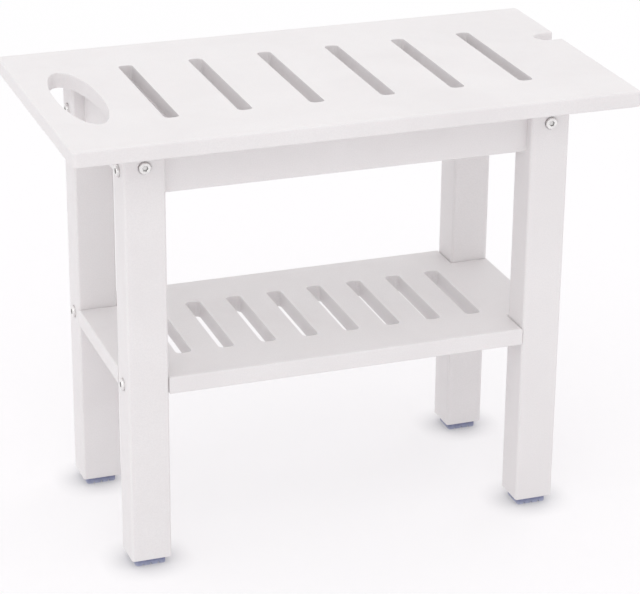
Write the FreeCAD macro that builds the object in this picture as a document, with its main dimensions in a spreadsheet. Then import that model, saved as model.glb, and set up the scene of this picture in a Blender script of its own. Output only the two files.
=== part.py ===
import FreeCAD, Part
import math
import os
import re
import Sketcher

# A slotted shower bench with a storage shelf and a square pad under each leg.
# Millimetres, +Z up, origin on the floor under the middle of the bench.
# +X runs along the bench towards the notched end, +Y towards its back.

SIZES = {
    # seat board
    "seat_length": 572,
    "seat_depth": 306,
    "seat_thick": 16,
    "seat_height": 459.5,
    "seat_corner_radius": 5,
    "board_edge_radius": 2,
    "rim_radius": 0.8,
    "seat_slot_count": 6,
    "seat_slot_width": 14.4,
    "seat_slot_gap": 2.3,
    "first_slot_inset": 115,
    "far_slot_inset": 92.8,
    "slot_corner_radius": 5,
    "grip_width": 43.6,
    "grip_margin": 70.5,
    "grip_inset": 45.2,
    "notch_width": 24,
    "notch_depth": 25.6,
    "notch_offset": 45.5,
    # legs and the frame that they stand in
    "end_overhang": 58,
    "side_overhang": 39,
    "leg_width": 41,
    "leg_depth": 38,
    "leg_edge_radius": 3,
    "leg_end_chamfer": 1.2,
    # aprons
    "apron_thick": 16,
    "apron_height": 52,
    # shelf
    "shelf_top": 204.5,
    "shelf_thick": 18,
    "shelf_gap": 0.3,
    "shelf_slot_count": 8,
    "shelf_slot_width": 15.8,
    "shelf_slot_margin": 53.3,
    "shelf_slot_inset": 72.6,
    # bolts through the legs, their heads standing in shallow counterbores
    "bolt_diameter": 6,
    "bolt_length": 55,
    "bolt_head_diameter": 11.6,
    "bolt_head_height": 4.4,
    "bolt_head_round": 1.2,
    "bolt_socket_width": 5.2,
    "bolt_socket_depth": 2.2,
    "tip_chamfer_share": 0.17,
    "bolt_room": 0.4,
    "bolt_tip_room": 3,
    "bolt_drop": 24,
    "bolt_stagger": 3.4,
    "counterbore_diameter": 13.2,
    "counterbore_depth": 1.4,
    # threaded inserts for the bolts
    "insert_diameter": 9,
    "insert_length": 13,
    "thread_gap": 0.1,
    # screws from below, through the aprons into the seat and through the pads into the legs
    "screw_diameter": 4.5,
    "screw_length": 34,
    "screw_bite": 12,
    "screw_tip_room": 1,
    "screw_head_diameter": 9,
    "screw_head_height": 3,
    "screw_head_round": 1,
    "screw_socket_width": 3.6,
    "screw_socket_depth": 1.8,
    "screw_pocket_room": 0.8,
    "screw_inset": 67,
    # square pads under the legs, each held by a screw from below
    "pad_height": 8,
    "pad_inset": 5,
    "pad_corner_radius": 3,
    "pad_edge_radius": 1,
    "pad_pocket_depth": 3.6,
    "groove_count": 3,
    "groove_pitch": 7.9,
    "groove_width": 1.8,
    "groove_depth": 2.2,
}

# the legs stand back from the seat's edges
FRAME_LENGTH = "(seat_length - 2 * end_overhang)"
FRAME_DEPTH = "(seat_depth - 2 * side_overhang)"
LEG_X = f"({FRAME_LENGTH} - leg_width) / 2"
LEG_Y = f"({FRAME_DEPTH} - leg_depth) / 2"
SPAN_X = f"({FRAME_LENGTH} - 2 * leg_width)"
SPAN_Y = f"({FRAME_DEPTH} - 2 * leg_depth)"
LEG_LENGTH = "seat_height - seat_thick - pad_height"
SEAT_BOTTOM = "seat_height - seat_thick"
APRON_BOTTOM = "seat_height - seat_thick - apron_height"
SHELF_BOLT_Z = "shelf_top - shelf_thick / 2"
# the two bolts at the top of a leg cross one above the other
LONG_BOLT_DROP = "bolt_drop + bolt_stagger"
SHORT_BOLT_DROP = "bolt_drop - bolt_stagger"
BOLT_HOLE = "bolt_diameter + bolt_room"
BOLT_REACH_X = "bolt_length + counterbore_depth - leg_width"
BOLT_REACH_Y = "bolt_length + counterbore_depth - leg_depth"

doc = FreeCAD.newDocument("ShowerBench")
sheet = doc.addObject("Spreadsheet::Sheet", "Sizes")
for row, (alias, value) in enumerate(SIZES.items(), start=1):
    sheet.set(f"A{row}", alias)
    sheet.set(f"B{row}", str(value))
    sheet.setAlias(f"B{row}", alias)
sums = doc.addObject("Spreadsheet::Sheet", "Sums")
doc.recompute()

ORIGIN = FreeCAD.Vector(0, 0, 0)
UP = FreeCAD.Vector(0, 0, 1)
X_AXIS = FreeCAD.Vector(1, 0, 0)
Y_AXIS = FreeCAD.Vector(0, 1, 0)
# how near two places count as one
NEAR = 1e-5
SKETCH_ORIGIN = (-1, 1)


def in_sheet(formula):
    """A formula with its aliases pointed at the sheet."""
    def sheet_name(match):
        word = match.group(0)
        return "Sizes." + word if word in SIZES else word
    return re.sub(r"[a-z_]+", sheet_name, formula)


def bind(thing, name, formula):
    """Ties a property or constraint to a formula in the sheet's aliases."""
    thing.setExpression(name, in_sheet(formula))


def value_of(formula):
    """The present value of a formula, so that a sketch is drawn at its real size."""
    sums.set("A1", "=" + in_sheet(formula))
    sums.recompute()
    return sums.get("A1")


def new_body(label):
    """An empty body with its node's name."""
    body = doc.addObject("PartDesign::Body", label)
    body.Label = label
    return body


def place(thing, x="0", y="0", z="0", turn=0, axis=UP):
    """Puts a piece at a place given by formulas, turned about an axis."""
    thing.Placement = FreeCAD.Placement(ORIGIN, FreeCAD.Rotation(axis, turn))
    bind(thing, "Placement.Base.x", x)
    bind(thing, "Placement.Base.y", y)
    bind(thing, "Placement.Base.z", z)


def origin_feature(body, role):
    """One of the body's own origin planes or axes."""
    return next(item for item in body.Origin.OriginFeatures if item.Role == role)


def new_sketch(body, name, plane="XY_Plane", across="0", along="0", out="0"):
    """A sketch on an origin plane, shifted in the plane and out of it."""
    sketch = body.newObject("Sketcher::SketchObject", name)
    sketch.AttachmentSupport = [(origin_feature(body, plane), "")]
    sketch.MapMode = "FlatFace"
    bind(sketch, "AttachmentOffset.Base.x", across)
    bind(sketch, "AttachmentOffset.Base.y", along)
    bind(sketch, "AttachmentOffset.Base.z", out)
    return sketch


def dimension(sketch, name, formula, kind, *where):
    """Adds one sketch dimension and binds it to the sheet."""
    index = sketch.addConstraint(Sketcher.Constraint(kind, *where, value_of(formula)))
    sketch.renameConstraint(index, name)
    bind(sketch, "Constraints." + name, formula)


def draw_circle(sketch, diameter):
    """A circle round the sketch's origin."""
    index = sketch.addGeometry(Part.Circle(ORIGIN, UP, value_of(diameter) / 2), False)
    sketch.addConstraint(Sketcher.Constraint("Coincident", index, 3, *SKETCH_ORIGIN))
    dimension(sketch, f"diameter_{index}", diameter, "Diameter", index)


def draw_rectangle(sketch, size_x, size_y):
    """A rectangle centred on the sketch's origin."""
    far_x, far_y = value_of(size_x) / 2, value_of(size_y) / 2
    corners = [FreeCAD.Vector(x * far_x, y * far_y, 0) for x, y in ((-1, -1), (1, -1), (1, 1), (-1, 1))]
    for side, start in enumerate(corners):
        sketch.addGeometry(Part.LineSegment(start, corners[(side + 1) % 4]), False)
    for side in range(4):
        sketch.addConstraint(Sketcher.Constraint("Coincident", side, 2, (side + 1) % 4, 1))
        sketch.addConstraint(Sketcher.Constraint("Vertical" if side % 2 else "Horizontal", side))
    sketch.addConstraint(Sketcher.Constraint("Symmetric", 0, 1, 1, 2, *SKETCH_ORIGIN))
    dimension(sketch, "size_x", size_x, "DistanceX", 0, 1, 0, 2)
    dimension(sketch, "size_y", size_y, "DistanceY", 1, 1, 1, 2)


def draw_slot(sketch, width, length):
    """A slot with rounded corners, centred on the sketch's origin and long along its vertical axis."""
    radius = value_of("slot_corner_radius")
    far_x, far_y = value_of(width) / 2, value_of(length) / 2
    near_x, near_y = far_x - radius, far_y - radius
    for arc, (x, y) in enumerate(((1, 1), (-1, 1), (-1, -1), (1, -1))):
        circle = Part.Circle(FreeCAD.Vector(x * near_x, y * near_y, 0), UP, radius)
        start = math.pi / 2 * arc
        sketch.addGeometry(Part.ArcOfCircle(circle, start, start + math.pi / 2), False)
    back, left, front, right = range(4, 8)
    for ends in (((near_x, far_y), (-near_x, far_y)), ((-far_x, near_y), (-far_x, -near_y)),
                 ((-near_x, -far_y), (near_x, -far_y)), ((far_x, -near_y), (far_x, near_y))):
        sketch.addGeometry(Part.LineSegment(*[FreeCAD.Vector(*end, 0) for end in ends]), False)
    for arc, line in enumerate((back, left, front, right)):
        next_arc = (arc + 1) % 4
        sketch.addConstraint(Sketcher.Constraint("Tangent", arc, 2, line, 1))
        sketch.addConstraint(Sketcher.Constraint("Tangent", line, 2, next_arc, 1))
    for arc in range(1, 4):
        sketch.addConstraint(Sketcher.Constraint("Equal", 0, arc))
    for line, kind in ((back, "Horizontal"), (front, "Horizontal"), (left, "Vertical"), (right, "Vertical")):
        sketch.addConstraint(Sketcher.Constraint(kind, line))
    sketch.addConstraint(Sketcher.Constraint("Symmetric", 0, 3, 2, 3, *SKETCH_ORIGIN))
    dimension(sketch, "corner", "slot_corner_radius", "Radius", 0)
    dimension(sketch, "width", width, "DistanceX", left, 1, right, 1)
    dimension(sketch, "length", length, "DistanceY", front, 1, back, 1)


def draw_oval(sketch, width, length):
    """An ellipse centred on the sketch's origin, long along its vertical axis."""
    far_x, far_y = value_of(width) / 2, value_of(length) / 2
    ellipse = Part.Ellipse(FreeCAD.Vector(0, far_y, 0), FreeCAD.Vector(far_x, 0, 0), ORIGIN)
    index = sketch.addGeometry(ellipse, False)
    sketch.exposeInternalGeometry(index)
    long_axis, short_axis = index + 1, index + 2
    sketch.addConstraint(Sketcher.Constraint("Coincident", index, 3, *SKETCH_ORIGIN))
    sketch.addConstraint(Sketcher.Constraint("Vertical", long_axis))
    dimension(sketch, "length", length, "Distance", long_axis, 1, long_axis, 2)
    dimension(sketch, "width", width, "Distance", short_axis, 1, short_axis, 2)


def draw_seat_outline(sketch):
    """The seat's rectangle with the round-ended notch in its right edge."""
    far_x, far_y = value_of("seat_length / 2"), value_of("seat_depth / 2")
    radius, middle = value_of("notch_width / 2"), value_of("notch_offset")
    inner = far_x - value_of("notch_depth") + radius
    points = [FreeCAD.Vector(x, y, 0) for x, y in (
        (-far_x, -far_y), (far_x, -far_y), (far_x, middle - radius), (inner, middle - radius),
        (inner, middle + radius), (far_x, middle + radius), (far_x, far_y), (-far_x, far_y))]
    front, right_front, notch_front = 0, 1, 2
    notch_back, right_back, back, left, arc = 3, 4, 5, 6, 7
    for first, second in ((0, 1), (1, 2), (2, 3), (4, 5), (5, 6), (6, 7), (7, 0)):
        sketch.addGeometry(Part.LineSegment(points[first], points[second]), False)
    circle = Part.Circle(FreeCAD.Vector(inner, middle, 0), UP, radius)
    sketch.addGeometry(Part.ArcOfCircle(circle, math.pi / 2, 3 * math.pi / 2), False)
    for first, second in ((front, right_front), (right_front, notch_front),
                          (notch_back, right_back), (right_back, back), (back, left), (left, front)):
        sketch.addConstraint(Sketcher.Constraint("Coincident", first, 2, second, 1))
    sketch.addConstraint(Sketcher.Constraint("Tangent", arc, 1, notch_back, 1))
    sketch.addConstraint(Sketcher.Constraint("Tangent", notch_front, 2, arc, 2))
    for line in (front, notch_front, notch_back, back):
        sketch.addConstraint(Sketcher.Constraint("Horizontal", line))
    for line in (right_front, right_back, left):
        sketch.addConstraint(Sketcher.Constraint("Vertical", line))
    sketch.addConstraint(Sketcher.Constraint("Symmetric", front, 1, right_back, 2, *SKETCH_ORIGIN))
    dimension(sketch, "length", "seat_length", "DistanceX", front, 1, front, 2)
    dimension(sketch, "depth", "seat_depth", "DistanceY", left, 2, left, 1)
    dimension(sketch, "notch_width", "notch_width", "Diameter", arc)
    dimension(sketch, "notch_offset", "notch_offset", "DistanceY", *SKETCH_ORIGIN, arc, 3)
    dimension(sketch, "notch_straight", "notch_depth - notch_width / 2", "DistanceX",
              arc, 3, notch_front, 1)


def pad(body, sketch, name, length, down=False):
    """Extrudes a sketch into a solid."""
    feature = body.newObject("PartDesign::Pad", name)
    feature.Profile = sketch
    feature.Reversed = down
    bind(feature, "Length", length)
    doc.recompute()
    return feature


def must_remove(body, volume, name):
    """Stops the build where a cut took nothing away."""
    if body.Shape.Volume >= volume:
        raise RuntimeError(f"{body.Label}: {name} removes nothing")


def pocket(body, sketch, name, depth=None):
    """Cuts a sketch on the body's base plane up into it, right through where no depth is given."""
    volume = body.Shape.Volume
    feature = body.newObject("PartDesign::Pocket", name)
    feature.Profile = sketch
    feature.Type = "Length" if depth else "ThroughAll"
    feature.Reversed = True
    if depth:
        bind(feature, "Length", depth)
    doc.recompute()
    must_remove(body, volume, name)
    return feature


def repeat(body, feature, name, length, count):
    """Repeats a cut along X, evenly over a length."""
    pattern = body.newObject("PartDesign::LinearPattern", name)
    pattern.Originals = [feature]
    pattern.Direction = (origin_feature(body, "X_Axis"), [""])
    bind(pattern, "Length", length)
    bind(pattern, "Occurrences", count)
    body.Tip = pattern
    doc.recompute()


def hole(body, name, plane, diameter, depth=None, wide=None, wide_depth=None,
         across="0", along="0", out="0", flip=False):
    """Drills a hole into a face, through the piece where no depth is given, stepped where it is wide."""
    volume = body.Shape.Volume
    mark = new_sketch(body, name + "_mark", plane, across, along, out)
    draw_circle(mark, diameter)
    feature = body.newObject("PartDesign::Hole", name)
    feature.Profile = mark
    doc.recompute()
    feature.Reversed = flip
    feature.DrillPoint = "Flat"
    feature.DepthType = "Dimension" if depth else "ThroughAll"
    bind(feature, "Diameter", diameter)
    if depth:
        bind(feature, "Depth", depth)
    if wide:
        feature.HoleCutType = "Counterbore"
        bind(feature, "HoleCutDiameter", wide)
        bind(feature, "HoleCutDepth", wide_depth)
    doc.recompute()
    must_remove(body, volume, name)


def edge_names(shape, wanted):
    """Names of the edges that pass a test."""
    return [f"Edge{index}" for index, edge in enumerate(shape.Edges, start=1) if wanted(edge)]


def runs_along(edge, axis):
    """Whether an edge is straight and parallel to an axis."""
    if edge.Curve.TypeId != "Part::GeomLine":
        return False
    return abs(abs(edge.tangentAt(edge.FirstParameter).dot(axis)) - 1) < NEAR


def round_edges(body, name, radius, wanted):
    """Rounds the edges that pass a test."""
    dress(body, "PartDesign::Fillet", name, "Radius", radius, wanted)


def chamfer_edges(body, name, size, wanted):
    """Bevels the edges that pass a test."""
    dress(body, "PartDesign::Chamfer", name, "Size", size, wanted)


def dress(body, kind, name, setting, size, wanted):
    """Adds a fillet or a chamfer on the body's present tip."""
    base = body.Tip
    feature = body.newObject(kind, name)
    feature.Base = (base, edge_names(base.Shape, wanted))
    bind(feature, setting, size)
    doc.recompute()


def level_faces(shape):
    """The flat faces that look straight up or down."""
    return [face for face in shape.Faces
            if face.Surface.TypeId == "Part::GeomPlane" and abs(abs(face.normalAt(0, 0).z) - 1) < NEAR]


def outline_edge(body):
    """A test for the outer edges of a board's top and bottom."""
    edges = [edge for face in level_faces(body.Tip.Shape) for edge in face.OuterWire.Edges]
    return lambda edge: any(edge.isSame(other) for other in edges)


def rim_edge(body):
    """A test for the edges of the openings in a board's top and bottom."""
    edges = [edge for face in level_faces(body.Tip.Shape) for wire in face.Wires
             if not wire.isSame(face.OuterWire) for edge in wire.Edges]
    return lambda edge: any(edge.isSame(other) for other in edges)


def seat_board():
    """The seat: a notched board with a hand hole, slots and blind screw holes in its underside."""
    body = new_body("seat_board")
    outline = new_sketch(body, "outline")
    draw_seat_outline(outline)
    pad(body, outline, "board", "seat_thick")
    far_x, far_y = value_of("seat_length / 2"), value_of("seat_depth / 2")

    def at_corner(edge):
        start = edge.Vertexes[0].Point
        on_corner = abs(abs(start.x) - far_x) < NEAR and abs(abs(start.y) - far_y) < NEAR
        return runs_along(edge, UP) and on_corner

    def at_mouth(edge):
        start = edge.Vertexes[0].Point
        return runs_along(edge, UP) and abs(start.x - far_x) < NEAR and abs(start.y) < far_y - NEAR

    round_edges(body, "mouth", "board_edge_radius", at_mouth)
    round_edges(body, "corners", "seat_corner_radius", at_corner)
    round_edges(body, "edges", "board_edge_radius", outline_edge(body))

    slot = new_sketch(body, "slot", across="first_slot_inset - seat_length / 2")
    # the slots end just short of the long aprons
    draw_slot(slot, "seat_slot_width", f"2 * ({LEG_Y} - seat_slot_gap) - apron_thick")
    cut = pocket(body, slot, "slot_cut")
    repeat(body, cut, "slots", "seat_length - first_slot_inset - far_slot_inset", "seat_slot_count")

    grip = new_sketch(body, "grip", across="grip_inset - seat_length / 2")
    draw_oval(grip, "grip_width", "seat_depth - 2 * grip_margin")
    pocket(body, grip, "grip_cut")
    round_edges(body, "rims", "rim_radius", rim_edge(body))

    for number, (x, y) in enumerate(SCREW_PLACES, start=1):
        hole(body, f"screw_hole_{number}", "XY_Plane", "screw_diameter + thread_gap",
             "screw_bite + screw_tip_room", across=x, along=y, flip=True)
    place(body, z=SEAT_BOTTOM)
    return body


def shelf_board():
    """The shelf: a slotted board notched round the legs, with inserts in its ends for the bolts."""
    body = new_body("shelf_board")
    across = new_sketch(body, "across")
    draw_rectangle(across, f"{SPAN_X} - 2 * shelf_gap", FRAME_DEPTH)
    pad(body, across, "middle", "shelf_thick")
    along = new_sketch(body, "along")
    draw_rectangle(along, FRAME_LENGTH, f"{SPAN_Y} - 2 * shelf_gap")
    pad(body, along, "ends", "shelf_thick")
    round_edges(body, "edges", "board_edge_radius", outline_edge(body))

    slot = new_sketch(body, "slot", across=f"shelf_slot_inset - {FRAME_LENGTH} / 2")
    draw_slot(slot, "shelf_slot_width", f"{FRAME_DEPTH} - 2 * shelf_slot_margin")
    cut = pocket(body, slot, "slot_cut")
    repeat(body, cut, "slots", f"{FRAME_LENGTH} - 2 * shelf_slot_inset", "shelf_slot_count")
    round_edges(body, "rims", "rim_radius", rim_edge(body))

    for side_x in (-1, 1):
        for side_y in (-1, 1):
            hole(body, f"insert_hole_{side_x + 1}_{side_y + 1}", "YZ_Plane", BOLT_HOLE,
                 f"{BOLT_REACH_X} - shelf_gap + bolt_tip_room", "insert_diameter", "insert_length",
                 across=f"{side_y} * {LEG_Y}", along="shelf_thick / 2",
                 out=f"{side_x} * ({SPAN_X} / 2 - shelf_gap)", flip=side_x < 0)
    place(body, z="shelf_top - shelf_thick")
    return body


def apron(label, length, bolt_drop, bolt_reach, screws, x, y, turn):
    """A rail under the seat, with inserts in both ends and screw holes up through it."""
    body = new_body(label)
    section = new_sketch(body, "plan")
    draw_rectangle(section, length, "apron_thick")
    pad(body, section, "rail", "apron_height")
    round_edges(body, "long_edges", "board_edge_radius", lambda edge: runs_along(edge, X_AXIS))
    for side in (-1, 1):
        hole(body, f"insert_hole_{side + 1}", "YZ_Plane", BOLT_HOLE,
             f"{bolt_reach} + bolt_tip_room", "insert_diameter", "insert_length",
             along=f"apron_height - ({bolt_drop})", out=f"{side} * {length} / 2", flip=side < 0)
    for number, offset in enumerate(screws, start=1):
        hole(body, f"screw_hole_{number}", "XY_Plane", "screw_diameter + bolt_room", None,
             "screw_head_diameter + screw_pocket_room",
             "apron_height - (screw_length - screw_bite)", across=offset, flip=True)
    place(body, x, y, APRON_BOTTOM, turn)
    return body


def low_edge(body):
    """A test for the edges round a body's lowest face."""
    low = min(level_faces(body.Tip.Shape), key=lambda face: face.CenterOfMass.z)
    return lambda edge: any(edge.isSame(other) for other in low.Edges)


def leg(label, side_x, side_y):
    """A leg with stepped bolt holes in its two outer faces and a screw hole in its lower end."""
    body = new_body(label)
    section = new_sketch(body, "section")
    draw_rectangle(section, "leg_width", "leg_depth")
    pad(body, section, "post", LEG_LENGTH)
    round_edges(body, "corners", "leg_edge_radius", lambda edge: runs_along(edge, UP))
    chamfer_edges(body, "foot_end", "leg_end_chamfer", low_edge(body))
    out_x = f"{side_x} * leg_width / 2"
    # the body's XZ plane looks along -Y
    out_y = f"{-side_y} * leg_depth / 2"
    hole(body, "long_apron_hole", "YZ_Plane", BOLT_HOLE, None, "counterbore_diameter",
         "counterbore_depth", along=f"{LEG_LENGTH} - ({LONG_BOLT_DROP})", out=out_x, flip=side_x < 0)
    hole(body, "short_apron_hole", "XZ_Plane", BOLT_HOLE, None, "counterbore_diameter",
         "counterbore_depth", along=f"{LEG_LENGTH} - ({SHORT_BOLT_DROP})", out=out_y, flip=side_y > 0)
    hole(body, "shelf_hole", "YZ_Plane", BOLT_HOLE, None, "counterbore_diameter",
         "counterbore_depth", along=f"{SHELF_BOLT_Z} - pad_height", out=out_x, flip=side_x < 0)
    hole(body, "pad_screw_hole", "XY_Plane", "screw_diameter + thread_gap",
         "screw_length - (pad_height - pad_pocket_depth) + screw_tip_room", flip=True)
    place(body, f"{side_x} * {LEG_X}", f"{side_y} * {LEG_Y}", "pad_height")
    return body


def socket_screw(label, diameter, length, head, head_height, head_round, socket, socket_depth):
    """A screw with a round socket head: its shank points down from the head's seat at its origin."""
    body = new_body(label)
    head_plan = new_sketch(body, "head_plan")
    draw_circle(head_plan, head)
    pad(body, head_plan, "head", head_height)
    top = body.Shape.BoundBox.ZMax
    round_edges(body, "head_edge", head_round,
                lambda edge: abs(edge.BoundBox.ZMin - top) < NEAR)
    shank_plan = new_sketch(body, "shank_plan")
    draw_circle(shank_plan, diameter)
    pad(body, shank_plan, "shank", length, down=True)
    low = body.Shape.BoundBox.ZMin
    chamfer_edges(body, "tip", f"{diameter} * tip_chamfer_share",
                  lambda edge: abs(edge.BoundBox.ZMax - low) < NEAR)
    volume = body.Shape.Volume
    prism = body.newObject("PartDesign::SubtractivePrism", "socket")
    prism.AttachmentSupport = [(origin_feature(body, "XY_Plane"), "")]
    prism.MapMode = "FlatFace"
    prism.Polygon = 6
    bind(prism, "AttachmentOffset.Base.z", f"{head_height} - {socket_depth}")
    # across the flats to across the corners
    bind(prism, "Circumradius", f"{socket} / 2 / cos(30 deg)")
    bind(prism, "Height", socket_depth)
    doc.recompute()
    must_remove(body, volume, "socket")
    return body


def sleeve(label, outer, bore, length):
    """A threaded insert, reaching down from its mouth at its origin."""
    body = new_body(label)
    ring = new_sketch(body, "ring")
    draw_circle(ring, outer)
    draw_circle(ring, bore)
    pad(body, ring, "sleeve", length, down=True)
    return body


def foot_pad():
    """A square pad with a rounded lower edge, a grooved sole and a stepped hole for its screw."""
    body = new_body("foot_pad")
    plan = new_sketch(body, "plan")
    draw_rectangle(plan, "leg_width - 2 * pad_inset", "leg_depth - 2 * pad_inset")
    pad(body, plan, "block", "pad_height")
    round_edges(body, "corners", "pad_corner_radius", lambda edge: runs_along(edge, UP))
    round_edges(body, "sole_edge", "pad_edge_radius", low_edge(body))
    groove = new_sketch(body, "groove", across="-(groove_count - 1) * groove_pitch / 2")
    draw_rectangle(groove, "groove_width", "leg_depth")
    cut = pocket(body, groove, "groove_cut", "groove_depth")
    repeat(body, cut, "grooves", "(groove_count - 1) * groove_pitch", "groove_count")
    hole(body, "screw_hole", "XY_Plane", "screw_diameter + bolt_room", None,
         "screw_head_diameter + screw_pocket_room", "pad_pocket_depth", flip=True)
    return body


def copies(label, pattern, places):
    """One node made of a pattern piece at each place: x, y, z, turn and the axis of the turn."""
    links = []
    for number, (x, y, z, turn, axis) in enumerate(places, start=1):
        link = doc.addObject("App::Link", f"{label}_{number}")
        link.LinkedObject = pattern
        place(link, x, y, z, turn, axis)
        links.append(link)
    group = doc.addObject("Part::Compound", label)
    group.Label = label
    group.Links = links
    return group


CORNERS = {"front_left": (-1, -1), "front_right": (1, -1), "back_left": (-1, 1), "back_right": (1, 1)}
LONG_SCREWS = (f"screw_inset - {SPAN_X} / 2", "0", f"{SPAN_X} / 2 - screw_inset")
SCREW_PLACES = ([(x, f"{side} * {LEG_Y}") for side in (-1, 1) for x in LONG_SCREWS]
                + [(f"{side} * {LEG_X}", "0") for side in (-1, 1)])

nodes = [seat_board(), shelf_board()]
for name, side in (("front", -1), ("back", 1)):
    nodes.append(apron(f"{name}_apron", SPAN_X, LONG_BOLT_DROP, BOLT_REACH_X, LONG_SCREWS,
                       "0", f"{side} * {LEG_Y}", 0))
for name, side in (("left", -1), ("right", 1)):
    nodes.append(apron(f"{name}_apron", SPAN_Y, SHORT_BOLT_DROP, BOLT_REACH_Y, ("0",),
                       f"{side} * {LEG_X}", "0", 90))
for name, (side_x, side_y) in CORNERS.items():
    nodes.append(leg(f"leg_{name}", side_x, side_y))

bolt = socket_screw("bolt", "bolt_diameter", "bolt_length", "bolt_head_diameter", "bolt_head_height",
                    "bolt_head_round", "bolt_socket_width", "bolt_socket_depth")
screw = socket_screw("screw", "screw_diameter", "screw_length", "screw_head_diameter",
                     "screw_head_height", "screw_head_round", "screw_socket_width",
                     "screw_socket_depth")
insert = sleeve("insert", "insert_diameter", "bolt_diameter + thread_gap", "insert_length")
pad_piece = foot_pad()

LONG_BOLT_Z = f"{SEAT_BOTTOM} - ({LONG_BOLT_DROP})"
SHORT_BOLT_Z = f"{SEAT_BOTTOM} - ({SHORT_BOLT_DROP})"
HEAD_X = f"({FRAME_LENGTH} / 2 - counterbore_depth)"
HEAD_Y = f"({FRAME_DEPTH} / 2 - counterbore_depth)"
SPAN_END_X = f"{SPAN_X} / 2"
SPAN_END_Y = f"{SPAN_Y} / 2"


def facing_x(out, z):
    """A place at each corner with the piece's own up turned outwards along X."""
    return [(f"{x} * {out}", f"{y} * {LEG_Y}", z, 90 * x, Y_AXIS) for x, y in CORNERS.values()]


def facing_y(out, z):
    """A place at each corner with the piece's own up turned outwards along Y."""
    return [(f"{x} * {LEG_X}", f"{y} * {out}", z, -90 * y, X_AXIS) for x, y in CORNERS.values()]


nodes.append(copies("long_apron_bolts", bolt, facing_x(HEAD_X, LONG_BOLT_Z)))
nodes.append(copies("short_apron_bolts", bolt, facing_y(HEAD_Y, SHORT_BOLT_Z)))
nodes.append(copies("shelf_bolts", bolt, facing_x(HEAD_X, SHELF_BOLT_Z)))
nodes.append(copies("long_apron_inserts", insert, facing_x(SPAN_END_X, LONG_BOLT_Z)))
nodes.append(copies("short_apron_inserts", insert, facing_y(SPAN_END_Y, SHORT_BOLT_Z)))
nodes.append(copies("shelf_inserts", insert, facing_x(f"({SPAN_END_X} - shelf_gap)", SHELF_BOLT_Z)))
nodes.append(copies("seat_screws", screw, [
    (x, y, f"{SEAT_BOTTOM} - (screw_length - screw_bite)", 180, X_AXIS) for x, y in SCREW_PLACES]))
nodes.append(copies("pad_screws", screw, [
    (f"{x} * {LEG_X}", f"{y} * {LEG_Y}", "pad_pocket_depth", 180, X_AXIS) for x, y in CORNERS.values()]))
for name, (side_x, side_y) in CORNERS.items():
    nodes.append(copies(f"foot_pad_{name}", pad_piece, [
        (f"{side_x} * {LEG_X}", f"{side_y} * {LEG_Y}", "0", 0, UP)]))

doc.removeObject(sums.Name)
doc.recompute()
for thing in doc.Objects:
    if {"Invalid", "Error"} & set(thing.State):
        raise RuntimeError(f"{thing.Label} did not build")
for node in nodes:
    if node.Shape.isNull() or not node.Shape.isValid():
        raise RuntimeError(f"{node.Label} is not a sound solid")
os.makedirs("parts", exist_ok=True)
for node in nodes:
    node.Shape.exportStep(f"parts/{node.Label}.step")
    box = node.Shape.BoundBox
    print(f"{node.Label}: {len(node.Shape.Solids)} solids, {node.Shape.Volume:.0f} mm3, "
          f"z {box.ZMin:.1f} to {box.ZMax:.1f}")
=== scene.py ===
import math
import bpy
from mathutils import Matrix, Quaternion, Vector


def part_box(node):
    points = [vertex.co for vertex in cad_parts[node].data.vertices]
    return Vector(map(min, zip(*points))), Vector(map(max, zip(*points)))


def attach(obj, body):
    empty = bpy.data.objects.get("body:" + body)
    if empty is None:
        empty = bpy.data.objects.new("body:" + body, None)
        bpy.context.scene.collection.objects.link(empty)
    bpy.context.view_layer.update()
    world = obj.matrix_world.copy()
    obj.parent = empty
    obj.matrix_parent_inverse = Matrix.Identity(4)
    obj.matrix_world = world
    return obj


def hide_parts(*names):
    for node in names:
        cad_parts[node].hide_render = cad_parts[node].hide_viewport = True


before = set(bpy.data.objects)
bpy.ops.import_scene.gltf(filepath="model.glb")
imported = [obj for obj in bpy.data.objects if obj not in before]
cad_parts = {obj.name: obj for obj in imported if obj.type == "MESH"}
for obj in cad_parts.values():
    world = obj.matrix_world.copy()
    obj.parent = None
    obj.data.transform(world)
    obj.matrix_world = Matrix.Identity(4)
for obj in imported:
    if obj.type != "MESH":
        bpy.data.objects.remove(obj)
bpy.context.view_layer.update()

MM = 0.001
CORNERS = {"front_left": (-1, -1), "front_right": (1, -1), "back_left": (-1, 1), "back_right": (1, 1)}
BOARDS = ("seat_board", "shelf_board", "front_apron", "back_apron", "left_apron", "right_apron")
LEGS = tuple(f"leg_{name}" for name in CORNERS)
INSERTS = ("long_apron_inserts", "short_apron_inserts", "shelf_inserts")

# Linear colours; a ramp is a row of (position, colour) stops
BOARD_WHITES = ((0.30, (0.808, 0.784, 0.786)), (0.52, (0.834, 0.811, 0.812)), (0.74, (0.850, 0.830, 0.831)))
BOARD_SPECK = (0.76, 0.732, 0.736)
BOARD_DIP_SHADE = (0.772, 0.749, 0.752)
SLOT_PAINTED_SHADE = (0.725, 0.702, 0.705)
STEEL_LIGHT, STEEL_DARK = (0.90, 0.885, 0.88), (0.76, 0.75, 0.745)
BRASS_LIGHT, BRASS_DARK = (0.80, 0.60, 0.29), (0.55, 0.38, 0.16)
PAD_BLUES = ((0.3, (0.142, 0.160, 0.285)), (0.5, (0.181, 0.200, 0.335)), (0.7, (0.220, 0.240, 0.385)))
PAD_FLOOR_LIGHT = (0.49, 0.515, 0.65)
FLOOR_GREYS = ((0.2, (0.515, 0.506, 0.515)), (0.8, (0.525, 0.518, 0.525)))
FLOOR_CONTACT_SHADOW = (0.03, 0.03, 0.06)
FLOOR_PLAIN = (0.93, 0.92, 0.93, 1.0)
FLOOR_GLOW = (1.0, 0.99, 1.0, 1.0)
ROOM = (1.0, 0.992, 1.0, 1.0)
WHITE = (1.0, 1.0, 1.0, 1.0)

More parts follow.
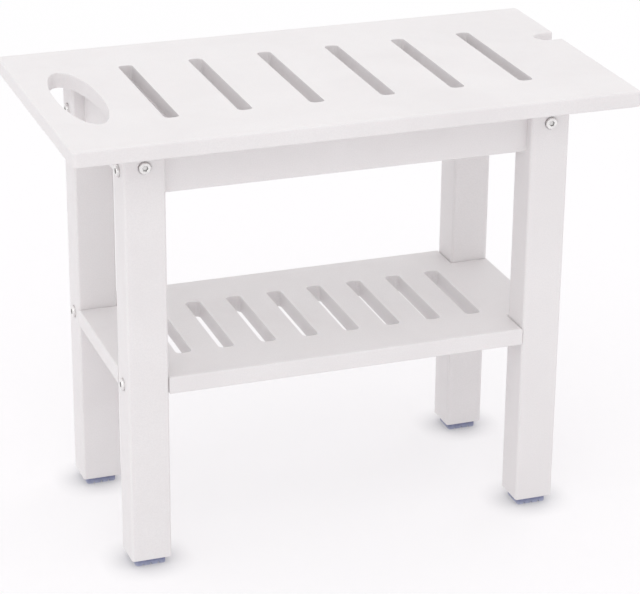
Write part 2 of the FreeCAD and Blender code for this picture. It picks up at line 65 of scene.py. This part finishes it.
# Noise scales per metre, from coarse to fine
BOARD_CLOUDS, BOARD_WAVES, BOARD_SHEEN = 9.0, 55.0, 75.0
BOARD_SPECKS, BOARD_PEBBLES, CUTTER_LINES = 420.0, 850.0, 1500.0
METAL_STAINS, BRASS_MARKS, STEEL_MARKS = 160.0, 800.0, 900.0
PAD_CLOUDS, PAD_SCUFFS, PAD_GRAIN = 190.0, 240.0, 1700.0
FLOOR_CLOUDS = 1.5

# Half length and half depth (mm) of a board's slotted part, and how much painted shade darkens the slot walls
SLOTTED = {"seat_board": (205.0, 90.0, 1.0), "shelf_board": (175.0, 70.0, 0.5)}
SLOT_MARGIN = 2.0


# Materials

class Nodes:
    """Builds the node tree of a material or the world."""

    def __init__(self, owner, output="ShaderNodeOutputMaterial"):
        self.owner = owner
        self.owner.use_nodes = True
        self.tree = self.owner.node_tree
        self.tree.nodes.clear()
        self.output = self.add(output)

    def add(self, kind, inputs=None, **settings):
        """A node with its settings; an input is a value or another node's socket."""
        node = self.tree.nodes.new(kind)
        for key, value in settings.items():
            setattr(node, key, value)
        for key, value in (inputs or {}).items():
            if isinstance(value, bpy.types.NodeSocket):
                self.tree.links.new(value, node.inputs[key])
            else:
                node.inputs[key].default_value = value
        return node

    def surface(self, shader):
        self.tree.links.new(shader.outputs[0], self.output.inputs["Surface"])

    def place(self, scale=(1, 1, 1), move=(0, 0, 0)):
        """Object coordinates, scaled and moved."""
        where = self.add("ShaderNodeTexCoord").outputs["Object"]
        mapping = self.add("ShaderNodeMapping", {"Vector": where, "Location": move, "Scale": scale})
        return mapping.outputs["Vector"]

    def split(self, vector):
        """The X, Y and Z of a vector."""
        return self.add("ShaderNodeSeparateXYZ", {"Vector": vector}).outputs

    def noise(self, vector, scale, detail=3.0, roughness=0.5, distortion=0.0):
        return self.add("ShaderNodeTexNoise", {"Vector": vector, "Scale": scale, "Detail": detail,
                                               "Roughness": roughness,
                                               "Distortion": distortion}).outputs["Fac"]

    def fit(self, value, low, high, to_low, to_high):
        """Maps a value from one range to another, held at the ends."""
        return self.add("ShaderNodeMapRange", {"Value": value, "From Min": low, "From Max": high,
                                               "To Min": to_low, "To Max": to_high}).outputs["Result"]

    def maths(self, operation, first, second=0.0):
        return self.add("ShaderNodeMath", {0: first, 1: second}, operation=operation).outputs[0]

    def ramp(self, value, stops):
        """A colour ramp through (position, colour) stops."""
        node = self.add("ShaderNodeValToRGB", {"Fac": value})
        points = node.color_ramp.elements
        while len(points) < len(stops):
            points.new(0.5)
        for point, (position, colour) in zip(points, stops):
            point.position = position
            point.color = (*colour, 1.0)
        return node.outputs["Color"]

    def mix(self, share, first, second):
        """Two colours mixed by a share."""
        node = self.add("ShaderNodeMix", {"Factor": share}, data_type="RGBA")
        for socket, value in ((node.inputs[6], first), (node.inputs[7], second)):
            if isinstance(value, bpy.types.NodeSocket):
                self.tree.links.new(value, socket)
            else:
                socket.default_value = (*value, 1.0)
        return node.outputs[2]

    def mix_shader(self, share, first, second):
        """Two shader nodes mixed by a share."""
        return self.add("ShaderNodeMixShader", {0: share, 1: first.outputs[0], 2: second.outputs[0]})

    def bump(self, height, strength, distance, normal=None):
        inputs = {"Height": height, "Strength": strength, "Distance": distance}
        if normal:
            inputs["Normal"] = normal
        return self.add("ShaderNodeBump", inputs).outputs["Normal"]

    def seen(self, paths):
        """Whether a ray comes from the camera, straight or by way of gloss or glass."""
        indirect = self.maths("MAXIMUM", paths.outputs["Is Glossy Ray"], paths.outputs["Is Transmission Ray"])
        return self.maths("MAXIMUM", paths.outputs["Is Camera Ray"], indirect)


def white_board(name, seed, slotted=None):
    """Satin white board: pebbled faces with painted shade in their dips, fine cutter lines on the upright
    ones, and slot walls darkened with painted shade.
    """
    n = Nodes(bpy.data.materials.new(name))
    here = n.place(move=(seed * 0.37, seed * 0.53, seed * 0.29))
    pebbles = n.noise(here, BOARD_PEBBLES, 2.0, 0.6)
    colour = n.ramp(n.noise(here, BOARD_CLOUDS, 4.0, 0.55, 0.6), BOARD_WHITES)
    specks = n.fit(n.noise(here, BOARD_SPECKS, 2.0), 0.62, 0.80, 0.0, 0.25)
    colour = n.mix(specks, colour, BOARD_SPECK)
    # painted shade: the low points of the pebble bump are darkened
    colour = n.mix(n.fit(pebbles, 0.36, 0.62, 0.45, 0.0), colour, BOARD_DIP_SHADE)
    facing = n.split(n.add("ShaderNodeNewGeometry").outputs["Normal"])
    upright = n.fit(n.maths("ABSOLUTE", facing["Z"]), 0.35, 0.75, 1.0, 0.0)
    if slotted:
        *reaches, slot_shade_share = slotted
        wall = upright
        place = n.split(n.place())
        for axis, reach in zip("XY", reaches):
            distance = n.maths("ABSOLUTE", place[axis])
            within = n.fit(distance, reach * MM, (reach + SLOT_MARGIN) * MM, 1.0, 0.0)
            wall = n.maths("MULTIPLY", wall, within)
        # painted shade: the slot walls are darkened towards grey, standing in for the shade inside the slots
        colour = n.mix(n.maths("MULTIPLY", wall, slot_shade_share), colour, SLOT_PAINTED_SHADE)
    lines = n.noise(n.place(scale=(1.0, 1.0, 0.02)), CUTTER_LINES, 1.0)
    normal = n.bump(pebbles, 0.45, 0.16 * MM)
    normal = n.bump(n.noise(here, BOARD_WAVES, 3.0), 0.10, 0.6 * MM, normal)
    normal = n.bump(n.maths("MULTIPLY", lines, upright), 0.30, 0.12 * MM, normal)
    rough = n.fit(n.noise(here, BOARD_SHEEN, 4.0), 0.3, 0.7, 0.40, 0.54)
    n.surface(n.add("ShaderNodeBsdfPrincipled", {
        "Base Color": colour, "Roughness": rough, "Normal": normal, "IOR": 1.5, "Subsurface Weight": 0.12,
        "Subsurface Radius": (4.0 * MM, 3.5 * MM, 3.5 * MM), "Subsurface Scale": 1.0}))
    return n.owner


def turned_metal(name, light, dark, rough_low, rough_high, marks_scale):
    """Bright metal with fine turning marks and a little tarnish, darkened by painted shade where its mesh is
    hollow.
    """
    n = Nodes(bpy.data.materials.new(name))
    here = n.place()
    marks = n.noise(here, marks_scale, 4.0, 0.65, 1.2)
    stains = n.fit(n.noise(here, METAL_STAINS, 4.0, 0.6), 0.35, 0.70, 0.0, 1.0)
    socket_shade = n.add("ShaderNodeAttribute", attribute_name="socket_shade").outputs["Fac"]
    socket_shade_dark = tuple(0.30 * channel for channel in dark)
    # painted shade: the socket's walls and floor are darkened by the value set on the mesh
    colour = n.mix(n.maths("MULTIPLY", socket_shade, 0.85), n.mix(stains, light, dark), socket_shade_dark)
    rough = n.fit(marks, 0.3, 0.7, rough_low, rough_high)
    normal = n.bump(marks, 0.22, 0.03 * MM)
    n.surface(n.add("ShaderNodeBsdfPrincipled", {
        "Base Color": colour, "Metallic": 1.0, "Roughness": rough, "Normal": normal}))
    return n.owner


def blue_rubber(name):
    """Blue moulded rubber, painted paler towards the floor as light thrown up from it, in scuffed patches."""
    n = Nodes(bpy.data.materials.new(name))
    here = n.place()
    scuffs = n.noise(n.place(scale=(1, 1, 3)), PAD_SCUFFS, 5.0, 0.7, 1.0)
    low = n.fit(n.split(here)["Z"], 0.5 * MM, 6.0 * MM, 1.0, 0.0)
    # painted light: the pad turns paler towards its foot as if lit from the floor, broken up by the scuff
    # noise
    painted_floor_light = n.maths("MULTIPLY", n.fit(scuffs, 0.30, 0.70, 0.45, 0.95), low)
    colour = n.mix(painted_floor_light, n.ramp(n.noise(here, PAD_CLOUDS, 4.0), PAD_BLUES), PAD_FLOOR_LIGHT)
    normal = n.bump(n.noise(here, PAD_GRAIN, 2.0, 0.6), 0.25, 0.08 * MM)
    normal = n.bump(scuffs, 0.12, 0.25 * MM, normal)
    rough = n.fit(scuffs, 0.3, 0.7, 0.45, 0.62)
    n.surface(n.add("ShaderNodeBsdfPrincipled", {
        "Base Color": colour, "Roughness": rough, "Normal": normal, "IOR": 1.5}))
    return n.owner


# Mesh helpers

RINGS_PER_TURN, RIDGE_SLOPE = 7, 2.6
SHARP_ANGLE = math.radians(32.0)


def ring_mesh(name, rings, segments):
    """A closed skin through rings: each ring is a function of the angle that gives a point."""
    verts, faces = [], []
    for ring in rings:
        for step in range(segments):
            verts.append(ring(2 * math.pi * step / segments))
    for level in range(len(rings) - 1):
        low, high = level * segments, (level + 1) * segments
        for step in range(segments):
            turn = (step + 1) % segments
            faces.append((low + step, low + turn, high + turn, high + step))
    # a fan of triangles closes each end
    for first, flip in ((0, True), ((len(rings) - 1) * segments, False)):
        centre = len(verts)
        loop = [Vector(verts[first + step]) for step in range(segments)]
        verts.append(tuple(sum(loop, Vector()) / segments))
        for step in range(segments):
            turn = (step + 1) % segments
            face = (first + step, first + turn, centre)
            faces.append(face[::-1] if flip else face)
    mesh = bpy.data.meshes.new(name)
    mesh.from_pydata(verts, [], faces)
    mesh.update()
    return mesh


def circle(radius, height):
    return lambda angle: (radius * math.cos(angle), radius * math.sin(angle), height)


def hexagon(flats, height):
    """A hexagon across its flats."""
    def ring(angle):
        inside = (angle + math.pi / 6) % (math.pi / 3) - math.pi / 6
        radius = flats / 2 / math.cos(inside)
        return radius * math.cos(angle), radius * math.sin(angle), height
    return ring


def thread(outer, depth, pitch, height):
    """One ring of a screw thread: the radius rises and falls once a turn."""
    def ring(angle):
        phase = (height / pitch - angle / (2 * math.pi)) % 1.0
        ridge = min(1.0, RIDGE_SLOPE * min(phase, 1.0 - phase))
        radius = outer - depth * (1.0 - ridge)
        return radius * math.cos(angle), radius * math.sin(angle), height
    return ring


def thread_rings(outer, depth, pitch, low, high):
    """Rings from low to high that carry a thread, several to a turn."""
    count = max(2, round((high - low) / pitch * RINGS_PER_TURN))
    return [thread(outer, depth, pitch, low + (high - low) * step / count) for step in range(count + 1)]


def join(name, meshes_at):
    """One object from meshes, each with its own matrix."""
    joined = bpy.data.meshes.new(name)
    verts, faces, socket_shades = [], [], []
    for mesh, matrix in meshes_at:
        start = len(verts)
        socket_shades += [point.value for point in mesh.attributes["socket_shade"].data]
        verts += [tuple(matrix @ vertex.co) for vertex in mesh.vertices]
        faces += [tuple(start + index for index in polygon.vertices) for polygon in mesh.polygons]
    joined.from_pydata(verts, [], faces)
    joined.update()
    joined.attributes.new("socket_shade", "FLOAT", "POINT").data.foreach_set("value", socket_shades)
    piece = bpy.data.objects.new(name, joined)
    bpy.context.scene.collection.objects.link(piece)
    return piece


def smooth_by_angle(piece):
    """Smooth shading except across sharp edges."""
    for polygon in piece.data.polygons:
        polygon.use_smooth = True
    piece.data.set_sharp_from_angle(angle=SHARP_ANGLE)


def outward(direction, place, spin):
    """A matrix that points a piece's +Z along a direction, turned about it."""
    turn = Vector(direction).to_track_quat("Z", "Y") @ Quaternion((0, 0, 1), spin)
    return Matrix.Translation(Vector(place)) @ turn.to_matrix().to_4x4()


# Fasteners: radii, heights and lengths in mm, and flats across the socket

BOLT = {"shank": 3.0, "length": 55.0, "head": 5.8, "height": 4.4, "round": 1.2, "flats": 5.2, "socket": 2.2,
        "thread": 26.0, "pitch": 1.0, "depth": 0.55, "segments": 48}
SCREW = {"shank": 2.25, "length": 34.0, "head": 4.5, "height": 3.0, "round": 1.0, "flats": 3.6, "socket": 1.8,
         "thread": 20.0, "pitch": 1.6, "depth": 0.55, "segments": 36}
NECK_RELIEF, NECK_LENGTH, THREAD_RUN_OUT = 0.2, 0.4, 0.6
HEAD_EDGE, SOCKET_LAND, SOCKET_BEVEL = 0.25, 0.28, 0.32
SOCKET_FLOOR_HEIGHT, SOCKET_FLOOR_WIDTH, DRILL_MARK = 0.15, 0.35, 0.25
DRILL_SHARE, DRILL_TIP_SHARE = 0.4, 0.15
TIP_SHARE, THREAD_START_SHARE = 1.3, 1.2
ROUND_STEPS = 5
# How much painted shade darkens the last rings of a socket
SOCKET_SHADES = [1.0, 0.9, 0.45, 0.25]


def screw_mesh(name, size):
    """A round head with a hexagonal socket, over a part-threaded shank that points down."""
    shank, head, depth, flats = (size[key] for key in ("shank", "head", "depth", "flats"))
    top, tip = size["height"], -size["length"]
    thread_end = tip + size["thread"]
    rings = [circle(shank - TIP_SHARE * depth, tip), circle(shank - depth, tip + depth)]
    rings += thread_rings(shank, depth, size["pitch"], tip + THREAD_START_SHARE * depth, thread_end)
    neck = shank - NECK_RELIEF
    rings += [circle(neck, thread_end + THREAD_RUN_OUT), circle(neck, -NECK_LENGTH), circle(shank, 0.0),
              circle(head - HEAD_EDGE, 0.0), circle(head, HEAD_EDGE)]
    # the head's side rises into a rounded edge with a flat land round the socket
    for step in range(ROUND_STEPS + 1):
        angle = step / ROUND_STEPS * math.pi / 2
        radius = head - size["round"] * (1.0 - math.cos(angle))
        rings.append(circle(radius, top - size["round"] + size["round"] * math.sin(angle)))
    rings.append(circle(flats / math.sqrt(3) + SOCKET_LAND, top))
    floor_height = top - size["socket"]
    rings += [hexagon(flats, top - SOCKET_BEVEL), hexagon(flats, floor_height + SOCKET_FLOOR_HEIGHT),
              hexagon(flats - SOCKET_FLOOR_WIDTH, floor_height), circle(DRILL_SHARE * flats, floor_height),
              circle(DRILL_TIP_SHARE * flats, floor_height - DRILL_MARK)]
    mesh = ring_mesh(name, rings, size["segments"])
    mesh.transform(Matrix.Scale(MM, 4))
    # painted shade in the socket, ring by ring
    ring_socket_shades = [0.0] * (len(rings) - len(SOCKET_SHADES)) + SOCKET_SHADES
    socket_shades = [socket_shade for socket_shade in ring_socket_shades for _ in range(size["segments"])]
    # the last two are the points that close the tip and the socket
    socket_shades += [0.0, SOCKET_SHADES[-1]]
    mesh.attributes.new("socket_shade", "FLOAT", "POINT").data.foreach_set("value", socket_shades)
    return mesh


bolt_mesh = screw_mesh("bolt", BOLT)
small_mesh = screw_mesh("screw", SCREW)
leg_low, leg_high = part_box("leg_front_left")
leg_x = -(leg_low.x + leg_high.x) / 2
leg_y = -(leg_low.y + leg_high.y) / 2
steel = turned_metal("bolt_steel", STEEL_LIGHT, STEEL_DARK, 0.18, 0.34, STEEL_MARKS)


def fasten(node, places):
    """The bolts or screws of one node as a finer piece, in place of the CAD node."""
    piece = join(node + "_detail", places)
    smooth_by_angle(piece)
    piece.data.materials.append(steel)
    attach(piece, "root")
    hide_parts(node)


def bolt_group(node, axis, spins):
    """The four bolts of one node, at the legs, along X or Y, each turned by its own spin."""
    low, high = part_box(node)
    middle = (low.z + high.z) / 2
    head = high.x if axis == "x" else high.y
    seat = head - BOLT["height"] * MM
    places = []
    for (side_x, side_y), spin in zip(CORNERS.values(), spins):
        if axis == "x":
            direction, place = (side_x, 0, 0), (side_x * seat, side_y * leg_y, middle)
        else:
            direction, place = (0, side_y, 0), (side_x * leg_x, side_y * seat, middle)
        places.append((bolt_mesh, outward(direction, place, spin)))
    fasten(node, places)


def screw_group(node, places, spin):
    """The upright screws of one node, each turned a spin further than the last."""
    low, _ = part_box(node)
    seat = low.z + SCREW["height"] * MM
    fasten(node, [(small_mesh, outward((0, 0, -1), (x, y, seat), spin * number))
                  for number, (x, y) in enumerate(places)])


bolt_group("long_apron_bolts", "x", (0.2, 0.9, 0.5, 0.1))
bolt_group("short_apron_bolts", "y", (0.35, 0.75, 0.15, 0.6))
bolt_group("shelf_bolts", "x", (0.8, 0.3, 0.05, 0.55))

LONG_APRON_SCREW_SPACING = 120.0 * MM
_, seat_screws_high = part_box("seat_screws")
end_x = seat_screws_high.x - SCREW["head"] * MM
seat_places = [(side * end_x, 0.0) for side in (-1, 1)]
seat_places += [(column * LONG_APRON_SCREW_SPACING, side * leg_y)
                for side in (-1, 1) for column in (-1, 0, 1)]
screw_group("seat_screws", seat_places, 0.3)
screw_group("pad_screws", [(x * leg_x, y * leg_y) for x, y in CORNERS.values()], 0.4)


# Boards, legs, pads and inserts keep their CAD shapes

def finish_node(node, material):
    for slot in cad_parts[node].material_slots:
        slot.material = material


for seed, node in enumerate(BOARDS + LEGS, start=1):
    finish_node(node, white_board(node + "_plastic", seed, SLOTTED.get(node)))
brass = turned_metal("insert_brass", BRASS_LIGHT, BRASS_DARK, 0.26, 0.45, BRASS_MARKS)
for node in INSERTS:
    finish_node(node, brass)
for name in CORNERS:
    finish_node(f"foot_pad_{name}", blue_rubber(f"foot_pad_{name}_rubber"))


# Floor, backdrop and light

FLOOR_REACH, FLOOR_DROP = 14.0, 0.2 * MM
FADE_START, FADE_END = 0.5, 2.4
CONTACT_SHADOW_REACH, CONTACT_SHADOW_LOW = 30.0 * MM, 0.50
TOUCHING = 1.2 * MM
GLOW_STRENGTH, ROOM_STRENGTH = 0.475, 0.90


def floor_material():
    """White studio floor: white to the camera, with the bench's soft shadow and a painted contact shadow at
    its feet.
    """
    n = Nodes(bpy.data.materials.new("studio_floor"))
    paths = n.add("ShaderNodeLightPath")
    seen = n.seen(paths)
    # painted shadow: an occlusion node darkens and tints the floor's colour and glow close to the feet
    closeness = n.add("ShaderNodeAmbientOcclusion", {"Distance": CONTACT_SHADOW_REACH}, samples=16).outputs["AO"]
    contact_shadow = n.fit(closeness, 0.0, 1.0, CONTACT_SHADOW_LOW, 1.0)
    tint = n.mix(contact_shadow, FLOOR_CONTACT_SHADOW, n.ramp(n.noise(n.place(), FLOOR_CLOUDS, 2.0), FLOOR_GREYS))
    shown = n.add("ShaderNodeBsdfDiffuse", {"Color": tint})
    glow_strength = n.maths("MULTIPLY", contact_shadow, GLOW_STRENGTH)
    glow = n.add("ShaderNodeEmission", {"Color": FLOOR_GLOW, "Strength": glow_strength})
    lit = n.add("ShaderNodeAddShader", {0: shown.outputs[0], 1: glow.outputs[0]})
    # far from the bench the floor fades into the white backdrop
    away = n.add("ShaderNodeVectorMath", {0: n.place()}, operation="LENGTH").outputs["Value"]
    backdrop = n.add("ShaderNodeEmission", {"Color": WHITE, "Strength": 1.0})
    faded = n.mix_shader(n.fit(away, FADE_START, FADE_END, 0.0, 1.0), lit, backdrop)
    plain = n.add("ShaderNodeBsdfDiffuse", {"Color": FLOOR_PLAIN})
    # from below, the floor lets the eye through, and light to what stands within a hair of it
    below = n.maths("MULTIPLY", n.add("ShaderNodeNewGeometry").outputs["Backfacing"], seen)
    touching = n.maths("LESS_THAN", paths.outputs["Ray Length"], TOUCHING)
    light_ray = n.maths("MAXIMUM", paths.outputs["Is Diffuse Ray"], paths.outputs["Is Shadow Ray"])
    clear = n.maths("MAXIMUM", below, n.maths("MULTIPLY", touching, light_ray))
    n.surface(n.mix_shader(clear, n.mix_shader(seen, plain, faded), n.add("ShaderNodeBsdfTransparent")))
    return n.owner


floor_mesh = bpy.data.meshes.new("studio_floor")
floor_corners = [(x * FLOOR_REACH, y * FLOOR_REACH, 0) for x, y in ((-1, -1), (1, -1), (1, 1), (-1, 1))]
floor_mesh.from_pydata(floor_corners, [], [(0, 1, 2, 3)])
floor = bpy.data.objects.new("studio_floor", floor_mesh)
floor.location.z = -FLOOR_DROP
bpy.context.scene.collection.objects.link(floor)
floor_mesh.materials.append(floor_material())

world = bpy.data.worlds.new("studio")
bpy.context.scene.world = world
sky = Nodes(world, "ShaderNodeOutputWorld")
room_light = sky.add("ShaderNodeBackground", {"Color": ROOM, "Strength": ROOM_STRENGTH})
white_world = sky.add("ShaderNodeBackground", {"Color": WHITE, "Strength": 1.0})
sky.surface(sky.mix_shader(sky.seen(sky.add("ShaderNodeLightPath")), room_light, white_world))


def soft_box(name, place, target, size, power):
    """A large area lamp that looks at a point."""
    lamp = bpy.data.lights.new(name, "AREA")
    lamp.shape = "RECTANGLE"
    lamp.size, lamp.size_y = size
    lamp.energy = power
    lamp_object = bpy.data.objects.new(name, lamp)
    lamp_object.location = place
    lamp_object.rotation_mode = "QUATERNION"
    lamp_object.rotation_quaternion = (Vector(target) - Vector(place)).to_track_quat("-Z", "Y")
    bpy.context.scene.collection.objects.link(lamp_object)


MIDDLE = (0.0, 0.0, 0.23)
soft_box("key", (-0.8, -1.9, 2.8), MIDDLE, (2.2, 2.2), 12.0)
soft_box("top", (-0.3, 0.4, 3.2), MIDDLE, (2.6, 2.6), 4.0)
soft_box("left", (-4.5, -0.4, 1.6), MIDDLE, (1.8, 1.8), 11.0)
soft_box("right_back", (2.7, 1.9, 2.2), MIDDLE, (2.0, 2.0), 6.5)
soft_box("front_low", (-1.0, -4.6, 1.1), MIDDLE, (1.8, 1.2), 4.5)


# Camera at the photograph's angle

YAW, PITCH, ROLL = (math.radians(angle) for angle in (19.83, 22.86, 0.53))
FOCAL_PIXELS = 2491.0
ORIGIN_IN_CAMERA = Vector((-10.0, 201.8, 2649.9)) * MM
IMAGE_WIDTH = 640.0
SENSOR_WIDTH = 36.0
UP = Vector((0, 0, 1))

right = Vector((math.cos(YAW), -math.sin(YAW), 0.0))
level = Vector((math.sin(YAW), math.cos(YAW), 0.0))
forward = math.cos(PITCH) * level - math.sin(PITCH) * UP
down = -(math.sin(PITCH) * level + math.cos(PITCH) * UP)
rolled_right = math.cos(ROLL) * right - math.sin(ROLL) * down
rolled_down = math.sin(ROLL) * right + math.cos(ROLL) * down
eye = -(rolled_right * ORIGIN_IN_CAMERA.x + rolled_down * ORIGIN_IN_CAMERA.y + forward * ORIGIN_IN_CAMERA.z)

camera_data = bpy.data.cameras.new("camera")
camera_data.sensor_fit = "HORIZONTAL"
camera_data.sensor_width = SENSOR_WIDTH
camera_data.lens = SENSOR_WIDTH * FOCAL_PIXELS / IMAGE_WIDTH
camera_data.clip_start, camera_data.clip_end = 0.05, 60.0
camera = bpy.data.objects.new("camera", camera_data)
bpy.context.scene.collection.objects.link(camera)
axes = Matrix((rolled_right, -rolled_down, -forward)).transposed()
camera.matrix_world = Matrix.Translation(eye) @ axes.to_4x4()
bpy.context.scene.camera = camera
bpy.context.scene.view_settings.view_transform = "Standard"
